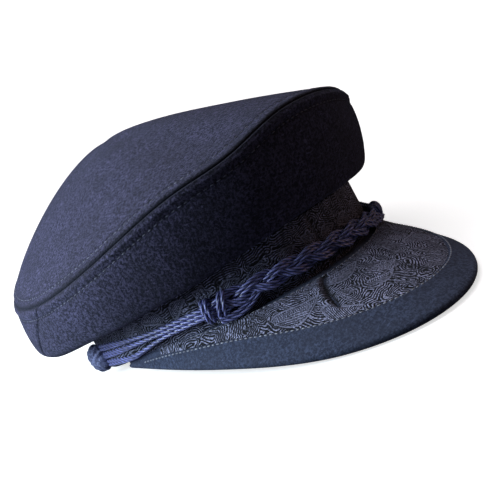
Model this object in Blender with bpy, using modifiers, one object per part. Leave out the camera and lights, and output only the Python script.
"""A sailor cap: a full wool crown on an embroidered band, an arched peak and a plaited cord.

The cap is drawn level first, in the wearer's own directions: x to the wearer's left, forward to
the front, up from the band's lower edge, and an angle of 0 at the front that grows to the
wearer's left. At the end it is tipped until both sides of the peak's edge and the back of the
band stand on the floor together, and the cloth that meets the floor is pressed flat.
"""

import math
from collections import namedtuple

import bmesh
import bpy
from mathutils import Matrix, Vector

MM = 0.001

# Cloth thicknesses and the gap that sewn pieces keep
WOOL_THICK = 2.0 * MM
BAND_THICK = 3.0 * MM
PEAK_THICK = 3.0 * MM
PANEL_THICK = 1.2 * MM
SEWN_GAP = 0.3 * MM
SIDE_SEAM_GAP = 0.9 * MM
FLOOR_PRESS = 0.8 * MM

# Head band, an oval for a head 58 cm round
BAND_HALF_LENGTH = 103.0 * MM
BAND_HALF_WIDTH = 85.0 * MM
BAND_HEIGHT = 30.0 * MM
BAND_LIFT = 6.0 * MM
BAND_LEAN = 4.0 * MM
LIFT_STARTS = -0.35
LIFT_SPREAD = 0.9

# Crown: the widest ring of the side wall, and the seam ring where the top panel is sewn on
BULGE_HALF_LENGTH = 122.0 * MM
BULGE_HALF_WIDTH = 112.5 * MM
BULGE_BACK = 13.5 * MM
BULGE_HEIGHT = 29.5 * MM
BULGE_FRONT_RISE = 6.5 * MM
BULGE_ENDS_RISE = 2.0 * MM
SEAM_HALF_LENGTH = 129.0 * MM
SEAM_HALF_WIDTH = 111.0 * MM
SEAM_BACK = 7.0 * MM
SEAM_HEIGHT = 71.0 * MM
SEAM_FRONT_RISE = 5.0 * MM
SEAM_ENDS_RISE = 13.5 * MM
Ring = namedtuple("Ring", "half_length half_width back height front_rise ends_rise")
BULGE = Ring(BULGE_HALF_LENGTH, BULGE_HALF_WIDTH, BULGE_BACK, BULGE_HEIGHT,
             BULGE_FRONT_RISE, BULGE_ENDS_RISE)
SEAM = Ring(SEAM_HALF_LENGTH, SEAM_HALF_WIDTH, SEAM_BACK, SEAM_HEIGHT,
            SEAM_FRONT_RISE, SEAM_ENDS_RISE)
DOME_RISE = 48.0 * MM
DOME_BACK = 43.5 * MM
DOME_ROUNDNESS = 1.5
DOME_BLUNT = 0.18
TOP_ROWS = (1.0, 0.95, 0.87, 0.76, 0.62, 0.47, 0.31, 0.15)
SIDE_SEAM_TOP = 84.0
SIDE_SEAM_FOOT = 98.0

# Side wall, from the band up: how far along the underside or the side each row lies, how far it
# sags as a share of the overhang, and how much of the wall's puff it has
WALL_PUFF = 2.2 * MM
WallRow = namedtuple("WallRow", "part share sag puff")
WALL_ROWS = (
    WallRow("join", 0.0, 0.0, 0.0),
    WallRow("under", 0.0, 0.0, 0.0),
    WallRow("under", 0.4, 0.10, 0.0),
    WallRow("under", 0.8, 0.16, 0.0),
    WallRow("side", 0.0, 0.0, 0.0),
    WallRow("side", 0.25, 0.0, 0.77),
    WallRow("side", 0.5, 0.0, 1.0),
    WallRow("side", 0.75, 0.0, 0.77),
    WallRow("side", 1.0, 0.0, 0.0),
)

# Peak: its outline in plan, and how far its lower edge drops at angles along that outline, as a
# share of the whole drop
PEAK_HALF_WIDTH = 83.5 * MM
PEAK_REACH = 175.0 * MM
PEAK_START = 9.8 * MM
PEAK_ARCH = 3.0 * MM
PEAK_FALL = 1.3
PEAK_DROP = 23.0 * MM
PEAK_EDGE = (
    (-90.0, 0.109),
    (-65.0, 0.435),
    (-35.0, 0.870),
    (0.0, 1.0),
    (35.0, 0.957),
    (65.0, 0.739),
    (90.0, 0.174),
)
STANDS_RIGHT = -35.0
STANDS_LEFT = 65.0
# Where the band meets the line that runs squarely out to each angle of the outline
PEAK_ROOT = (
    (0.0, 0.0),
    (45.0, 27.0),
    (60.0, 40.0),
    (75.0, 60.5),
    (85.0, 76.5),
    (90.0, 86.0),
)
PEAK_ROWS = (0.0, 0.14, 0.29, 0.45, 0.61, 0.76, 0.88, 1.0)

# Embroidered panel: how far out its border lies at angles along the outline
PANEL_OUTER = (
    (-76.0, 0.45),
    (-60.0, 0.52),
    (-45.0, 0.61),
    (-25.0, 0.70),
    (0.0, 0.77),
    (30.0, 0.79),
    (60.0, 0.72),
    (76.0, 0.60),
)
PANEL_INNER = 0.14
PANEL_STEPS = 4
PANEL_END_ANGLE = 76.0
PANEL_OFF_BAND = 0.6 * MM

# Buttons: a turned profile, as radius and distance out from the band
BUTTON_ANGLE = 102.0
BUTTON_HEIGHT = 9.0 * MM
BUTTON_PROFILE = (
    (0.0, 8.5 * MM),
    (4.5 * MM, 7.8 * MM),
    (7.2 * MM, 6.0 * MM),
    (8.0 * MM, 3.6 * MM),
    (7.4 * MM, 1.2 * MM),
    (5.5 * MM, 0.0),
    (0.0, 0.0),
)

# Cord: the height of its middle, and how far it stands off, at angles round the band
CORD_ROUTE = (
    (-102.0, 9.0 * MM),
    (-75.0, 14.5 * MM),
    (-55.0, 17.0 * MM),
    (-25.0, 18.5 * MM),
    (0.0, 16.5 * MM),
    (25.0, 13.0 * MM),
    (43.0, 11.2 * MM),
    (70.0, 10.5 * MM),
    (102.0, 9.0 * MM),
)
CORD_STAND = (
    (-102.0, 0.6 * MM),
    (-30.0, 0.6 * MM),
    (5.0, 0.6 * MM),
    (43.0, 3.6 * MM),
    (70.0, 1.2 * MM),
    (102.0, 0.6 * MM),
)
KNOT_ANGLE = 41.0
KNOT_SPAN = 5.0
CORD_END_ANGLE = 97.0
PLAIT_PITCH = 10.0
PLAIT_HALF_ACROSS = 5.3 * MM
PLAIT_LOBE = 0.8 * MM
PLAIT_HALF_DEPTH = 3.2 * MM
CORDS_HALF_DEPTH = 2.4 * MM
CORDS_AT_KNOT = 4.2 * MM
CORDS_AT_BUTTON = 6.6 * MM
KNOT_HALF_DEPTH = 4.6 * MM
KNOT_HALF_ACROSS = 6.8 * MM
KNOT_ROUNDING = 0.25

# Mesh fineness, and the small steps that slopes are measured over
AROUND = 72
BAND_ROWS = 2
PEAK_COLUMNS = 44
TUBE_SIDES = 12
PLAIT_STATIONS = 48
CORD_STATIONS = 12
KNOT_STATIONS = 6
BUTTON_SIDES = 24
ANGLE_STEP = 1.0
SHARE_STEP = 0.02
WELD = 0.01 * MM
SHARP_EDGE = 35.0

# Colours, as linear red, green and blue, with the cloth's roughness
NAVY_WOOL = (0.018, 0.022, 0.045, 0.95)
NAVY_BRAID = (0.030, 0.036, 0.085, 0.70)
NAVY_STITCH = (0.028, 0.033, 0.060, 0.80)


def clear_scene():
    for old in list(bpy.data.objects):
        bpy.data.objects.remove(old, do_unlink=True)


def cloth_material(name, look):
    """A matt cloth of one colour."""
    material = bpy.data.materials.new(name)
    material.use_nodes = True
    shader = material.node_tree.nodes["Principled BSDF"]
    shader.inputs["Base Color"].default_value = (*look[:3], 1.0)
    shader.inputs["Roughness"].default_value = look[3]
    shader.inputs["Metallic"].default_value = 0.0
    return material


def place(x, forward, up):
    """A point from the wearer's directions: the front faces -Y."""
    return Vector((x, -forward, up))


def smooth_step(share):
    share = min(max(share, 0.0), 1.0)
    return share * share * (3.0 - 2.0 * share)


def spread(start, end, count):
    return [start + (end - start) * i / count for i in range(count + 1)]


def read_table(table, where):
    """The value of a two-column table at a place, along a smooth curve through its rows."""
    places = [row[0] for row in table]
    values = [row[1] for row in table]
    where = min(max(where, places[0]), places[-1])
    last = len(table) - 1
    i = next(k for k in range(last) if where <= places[k + 1])
    before, after = max(i - 1, 0), min(i + 2, last)
    step = places[i + 1] - places[i]
    slope_in = (values[i + 1] - values[before]) / (places[i + 1] - places[before]) * step
    slope_out = (values[after] - values[i]) / (places[after] - places[i]) * step
    s = (where - places[i]) / step
    from_value = values[i] * (1.0 + 2.0 * s) + slope_in * s
    to_value = values[i + 1] * (3.0 - 2.0 * s) - slope_out * (1.0 - s)
    return (1.0 - s) ** 2 * from_value + s ** 2 * to_value


# Band

def band_lift(angle):
    """How far the band's lower edge rises above its level at the back."""
    turn = math.radians(angle)
    rise = smooth_step((math.cos(turn) - LIFT_STARTS) / LIFT_SPREAD)
    return rise * (BAND_LIFT - BAND_LEAN * math.sin(turn))


def band_normal(angle):
    """The level direction out from the band's oval."""
    turn = math.radians(angle)
    out = Vector((math.sin(turn) / BAND_HALF_WIDTH, -math.cos(turn) / BAND_HALF_LENGTH, 0.0))
    return out.normalized()


def beside_band(angle, out, up):
    """A point that stands out from the band's outer face by out, at the height up."""
    turn = math.radians(angle)
    oval = place(BAND_HALF_WIDTH * math.sin(turn), BAND_HALF_LENGTH * math.cos(turn), up)
    return oval + band_normal(angle) * out


def full_circle():
    return [360.0 * i / AROUND for i in range(AROUND)]


def band_rows():
    """Rows of the band's outer face, from its top edge down."""
    heights = spread(BAND_HEIGHT, 0.0, BAND_ROWS)
    return [[beside_band(a, 0.0, band_lift(a) + height) for a in full_circle()] for height in heights]


# Crown

def ring_point(ring, angle):
    turn = math.radians(angle)
    height = ring.height + ring.front_rise * math.cos(turn) + ring.ends_rise * math.cos(2 * turn)
    across = ring.half_width * math.sin(turn)
    return place(across, ring.half_length * math.cos(turn) - ring.back, height)


def wall_point(row, angle):
    """A point of the side wall's outer skin."""
    edge_height = band_lift(angle) + BAND_HEIGHT + SEWN_GAP
    if row.part == "join":
        return beside_band(angle, -BAND_THICK, edge_height)
    if row.part == "under":
        start = beside_band(angle, 0.0, edge_height)
        reach = ring_point(BULGE, angle) - start
        overhang = math.hypot(reach.x, reach.y)
        return start + reach * row.share - Vector((0.0, 0.0, row.sag * overhang))
    foot = ring_point(BULGE, angle)
    top = ring_point(SEAM, angle) - Vector((0.0, 0.0, WOOL_THICK + SEWN_GAP))
    return foot.lerp(top, row.share) + band_normal(angle) * row.puff * WALL_PUFF


def side_seam_angle(row):
    """The side seams lean back on their way down."""
    height = row.share if row.part == "side" else 0.0
    return SIDE_SEAM_FOOT + (SIDE_SEAM_TOP - SIDE_SEAM_FOOT) * height


def wall_rows(is_front):
    """Rows of one wall panel, top row first, from the right side seam to the left one or on."""
    half_gap = math.degrees(SIDE_SEAM_GAP / 2 / BAND_HALF_LENGTH)
    rows = []
    for row in reversed(WALL_ROWS):
        seam = side_seam_angle(row)
        start, end = (-seam, seam) if is_front else (seam, 360.0 - seam)
        start, end = start + half_gap, end - half_gap
        rows.append([wall_point(row, a) for a in spread(start, end, AROUND // 2)])
    return rows


def dome_point(angle, share):
    """A point of the top panel, with share 1 at its seam and 0 at its middle."""
    centre = place(0.0, -SEAM.back, SEAM.height)
    point = centre.lerp(ring_point(SEAM, angle), share)
    back = DOME_BACK * (1.0 - share ** 2)
    blunt = math.sqrt((share ** 2 + DOME_BLUNT ** 2) / (1.0 + DOME_BLUNT ** 2))
    rise = DOME_RISE * (1.0 - blunt ** DOME_ROUNDNESS)
    return point + Vector((0.0, back, rise))


def dome_rows():
    """Rows of the top panel, from its middle out."""
    return [[dome_point(a, share) for a in full_circle()] for share in reversed(TOP_ROWS)]


# Peak

def peak_root(angle):
    """Where the peak is sewn in under the middle of the band's lower edge."""
    root_angle = math.copysign(read_table(PEAK_ROOT, abs(angle)), angle)
    return beside_band(root_angle, -BAND_THICK / 2, band_lift(root_angle) - SEWN_GAP)


def peak_edge(angle):
    """A point of the peak's lower outer edge."""
    turn = math.radians(angle)
    reach = PEAK_START + (PEAK_REACH - PEAK_START) * math.cos(turn)
    return place(PEAK_HALF_WIDTH * math.sin(turn), reach, -PEAK_DROP * read_table(PEAK_EDGE, angle))


def peak_point(angle, share):
    """A point of the peak's upper skin: share 0 at the band, 1 at the outer edge."""
    root = peak_root(angle)
    edge = peak_edge(angle) + Vector((0.0, 0.0, PEAK_THICK))
    turn = math.radians(angle)
    point = root.lerp(edge, share)
    point.z = root.z + (edge.z - root.z) * share ** PEAK_FALL
    point.z += PEAK_ARCH * 4.0 * share * (1.0 - share) * math.cos(turn)
    return point


def peak_normal(angle, share):
    """The direction out of the peak's upper skin."""
    along = peak_point(angle + ANGLE_STEP, share) - peak_point(angle - ANGLE_STEP, share)
    outward = peak_point(angle, share + SHARE_STEP) - peak_point(angle, share - SHARE_STEP)
    return outward.cross(along).normalized()


def peak_rows():
    angles = spread(-90.0, 90.0, PEAK_COLUMNS)
    return [[peak_point(a, share) for a in angles] for share in PEAK_ROWS]


def panel_rows():
    """Rows of the embroidered panel's upper skin, a little above the peak's."""
    stand = SEWN_GAP + PANEL_THICK
    columns = []
    for angle in spread(-PANEL_END_ANGLE, PANEL_END_ANGLE, PEAK_COLUMNS):
        length = (peak_edge(angle) - peak_root(angle)).length
        inner = max(PANEL_INNER, (BAND_THICK / 2 + PANEL_OFF_BAND) / length)
        shares = spread(inner, read_table(PANEL_OUTER, angle), PANEL_STEPS)
        columns.append([peak_point(angle, s) + peak_normal(angle, s) * stand for s in shares])
    return [list(row) for row in zip(*columns)]


# Cord

def bundle_rows(stations):
    """Oval cross-sections along the cord, from rows of angle, half depth and half across."""
    up = Vector((0.0, 0.0, 1.0))
    rows = []
    for angle, half_depth, half_across in stations:
        stand = read_table(CORD_STAND, angle) + half_depth
        centre = beside_band(angle, stand, read_table(CORD_ROUTE, angle))
        out = band_normal(angle)
        row = []
        for i in range(TUBE_SIDES):
            turn = 2 * math.pi * i / TUBE_SIDES
            row.append(centre + out * half_depth * math.cos(turn) + up * half_across * math.sin(turn))
        rows.append(row)
    return rows


def plait_stations():
    """The plaited middle swells and narrows with each crossing."""
    clear = math.degrees(SEWN_GAP / BAND_HALF_WIDTH)
    end = KNOT_ANGLE - KNOT_SPAN / 2 - clear
    stations = []
    for angle in spread(-end, end, PLAIT_STATIONS):
        lobe = PLAIT_LOBE * math.cos(2 * math.pi * angle / PLAIT_PITCH)
        stations.append((angle, PLAIT_HALF_DEPTH, PLAIT_HALF_ACROSS + lobe))
    return stations


def cords_stations(side):
    """The plain cords run together at the knot and spread at the button."""
    clear = math.degrees(SEWN_GAP / BAND_HALF_WIDTH)
    start = KNOT_ANGLE + KNOT_SPAN / 2 + clear
    stations = []
    for i, angle in enumerate(spread(start, CORD_END_ANGLE, CORD_STATIONS)):
        widening = smooth_step(i / CORD_STATIONS)
        across = CORDS_AT_KNOT + (CORDS_AT_BUTTON - CORDS_AT_KNOT) * widening
        stations.append((side * angle, CORDS_HALF_DEPTH, across))
    return stations if side > 0 else stations[::-1]


def knot_stations(side):
    """A slide knot is a short barrel round the cords."""
    stations = []
    for share in spread(-1.0, 1.0, KNOT_STATIONS):
        size = 1.0 - KNOT_ROUNDING * share ** 2
        angle = side * KNOT_ANGLE + share * KNOT_SPAN / 2
        stations.append((angle, KNOT_HALF_DEPTH * size, KNOT_HALF_ACROSS * size))
    return stations


# Meshes

def add_object(name, mesh, material):
    mesh.materials.append(material)
    piece = bpy.data.objects.new(name, mesh)
    bpy.data.collections["sailor_cap"].objects.link(piece)
    return piece


def loft(name, rows, material, closed, capped=False, centre=None):
    """A skin through rows of points, as a sheet, a closed ring or a capped tube."""
    mesh = bpy.data.meshes.new(name)
    bm = bmesh.new()
    grid = [[bm.verts.new(point) for point in row] for row in rows]
    columns = len(grid[0])
    for upper, lower in zip(grid, grid[1:]):
        for i in range(columns if closed else columns - 1):
            j = (i + 1) % columns
            bm.faces.new((upper[i], lower[i], lower[j], upper[j]))
    if capped:
        bm.faces.new(grid[0])
        bm.faces.new(grid[-1][::-1])
    if centre is not None:
        middle = bm.verts.new(centre)
        for i in range(columns):
            bm.faces.new((middle, grid[0][i], grid[0][(i + 1) % columns]))
    bm.to_mesh(mesh)
    bm.free()
    return add_object(name, mesh, material)


def thicken(piece, thickness):
    """Cloth of one thickness behind the drawn skin."""
    solid = piece.modifiers.new("cloth", "SOLIDIFY")
    solid.thickness = thickness
    solid.offset = -1.0
    solid.use_even_offset = True
    return piece


def button(name, side, material):
    """A cloth-covered button, turned about the line out from the band."""
    mesh = bpy.data.meshes.new(name)
    bm = bmesh.new()
    points = [bm.verts.new((radius, 0.0, out)) for radius, out in BUTTON_PROFILE]
    for one, two in zip(points, points[1:]):
        bm.edges.new((one, two))
    bm.to_mesh(mesh)
    bm.free()
    piece = add_object(name, mesh, material)
    screw = piece.modifiers.new("turn", "SCREW")
    screw.steps = BUTTON_SIDES
    screw.render_steps = BUTTON_SIDES
    screw.use_merge_vertices = True
    screw.merge_threshold = WELD
    foot = beside_band(side * BUTTON_ANGLE, SEWN_GAP, BUTTON_HEIGHT)
    out = band_normal(side * BUTTON_ANGLE)
    piece.matrix_world = Matrix.Translation(foot) @ out.to_track_quat("Z", "Y").to_matrix().to_4x4()
    return piece


def build_pieces():
    wool = cloth_material("navy_wool", NAVY_WOOL)
    stitch = cloth_material("embroidered_cloth", NAVY_STITCH)
    braid = cloth_material("navy_cord", NAVY_BRAID)
    middle = dome_point(0.0, 0.0)
    thicken(loft("crown_top", dome_rows(), wool, closed=True, centre=middle), WOOL_THICK)
    thicken(loft("crown_wall_front", wall_rows(True), wool, closed=False), WOOL_THICK)
    thicken(loft("crown_wall_back", wall_rows(False), wool, closed=False), WOOL_THICK)
    thicken(loft("band", band_rows(), stitch, closed=True), BAND_THICK)
    thicken(loft("peak", peak_rows(), wool, closed=False), PEAK_THICK)
    thicken(loft("peak_panel", panel_rows(), stitch, closed=False), PANEL_THICK)
    loft("braid", bundle_rows(plait_stations()), braid, closed=True, capped=True)
    for name, side in (("right", -1), ("left", 1)):
        loft("cords_" + name, bundle_rows(cords_stations(side)), braid, closed=True, capped=True)
        loft("knot_" + name, bundle_rows(knot_stations(side)), braid, closed=True, capped=True)
        button("button_" + name, side, wool)


# Resting on the floor

def standing_turn():
    """The turn that levels the three places the cap stands on, and the place at the band's back."""
    back = place(0.0, -BAND_HALF_LENGTH, 0.0)
    left = peak_edge(STANDS_LEFT) - back
    right = peak_edge(STANDS_RIGHT) - back
    up = right.cross(left).normalized()
    return up.rotation_difference(Vector((0.0, 0.0, 1.0))).to_matrix().to_4x4(), back


def settle(pieces):
    """Tips the finished pieces, presses them to the floor and centres them over the origin."""
    tip, back = standing_turn()
    drop = Matrix.Translation((0.0, 0.0, -(tip @ back).z - FLOOR_PRESS)) @ tip
    graph = bpy.context.evaluated_depsgraph_get()
    for piece in pieces:
        mesh = bpy.data.meshes.new_from_object(piece.evaluated_get(graph))
        mesh.transform(drop @ piece.matrix_world)
        for vertex in mesh.vertices:
            vertex.co.z = max(vertex.co.z, 0.0)
        piece.modifiers.clear()
        piece.data = mesh
        piece.matrix_world = Matrix.Identity(4)
    corners = [vertex.co for piece in pieces for vertex in piece.data.vertices]
    middle_x = (min(c.x for c in corners) + max(c.x for c in corners)) / 2
    middle_y = (min(c.y for c in corners) + max(c.y for c in corners)) / 2
    for piece in pieces:
        piece.data.transform(Matrix.Translation((-middle_x, -middle_y, 0.0)))
        piece.data.shade_smooth()
        piece.data.set_sharp_from_angle(angle=math.radians(SHARP_EDGE))


def main():
    clear_scene()
    cap = bpy.data.collections.new("sailor_cap")
    bpy.context.scene.collection.children.link(cap)
    build_pieces()
    bpy.context.view_layer.update()
    settle(list(cap.objects))


main()
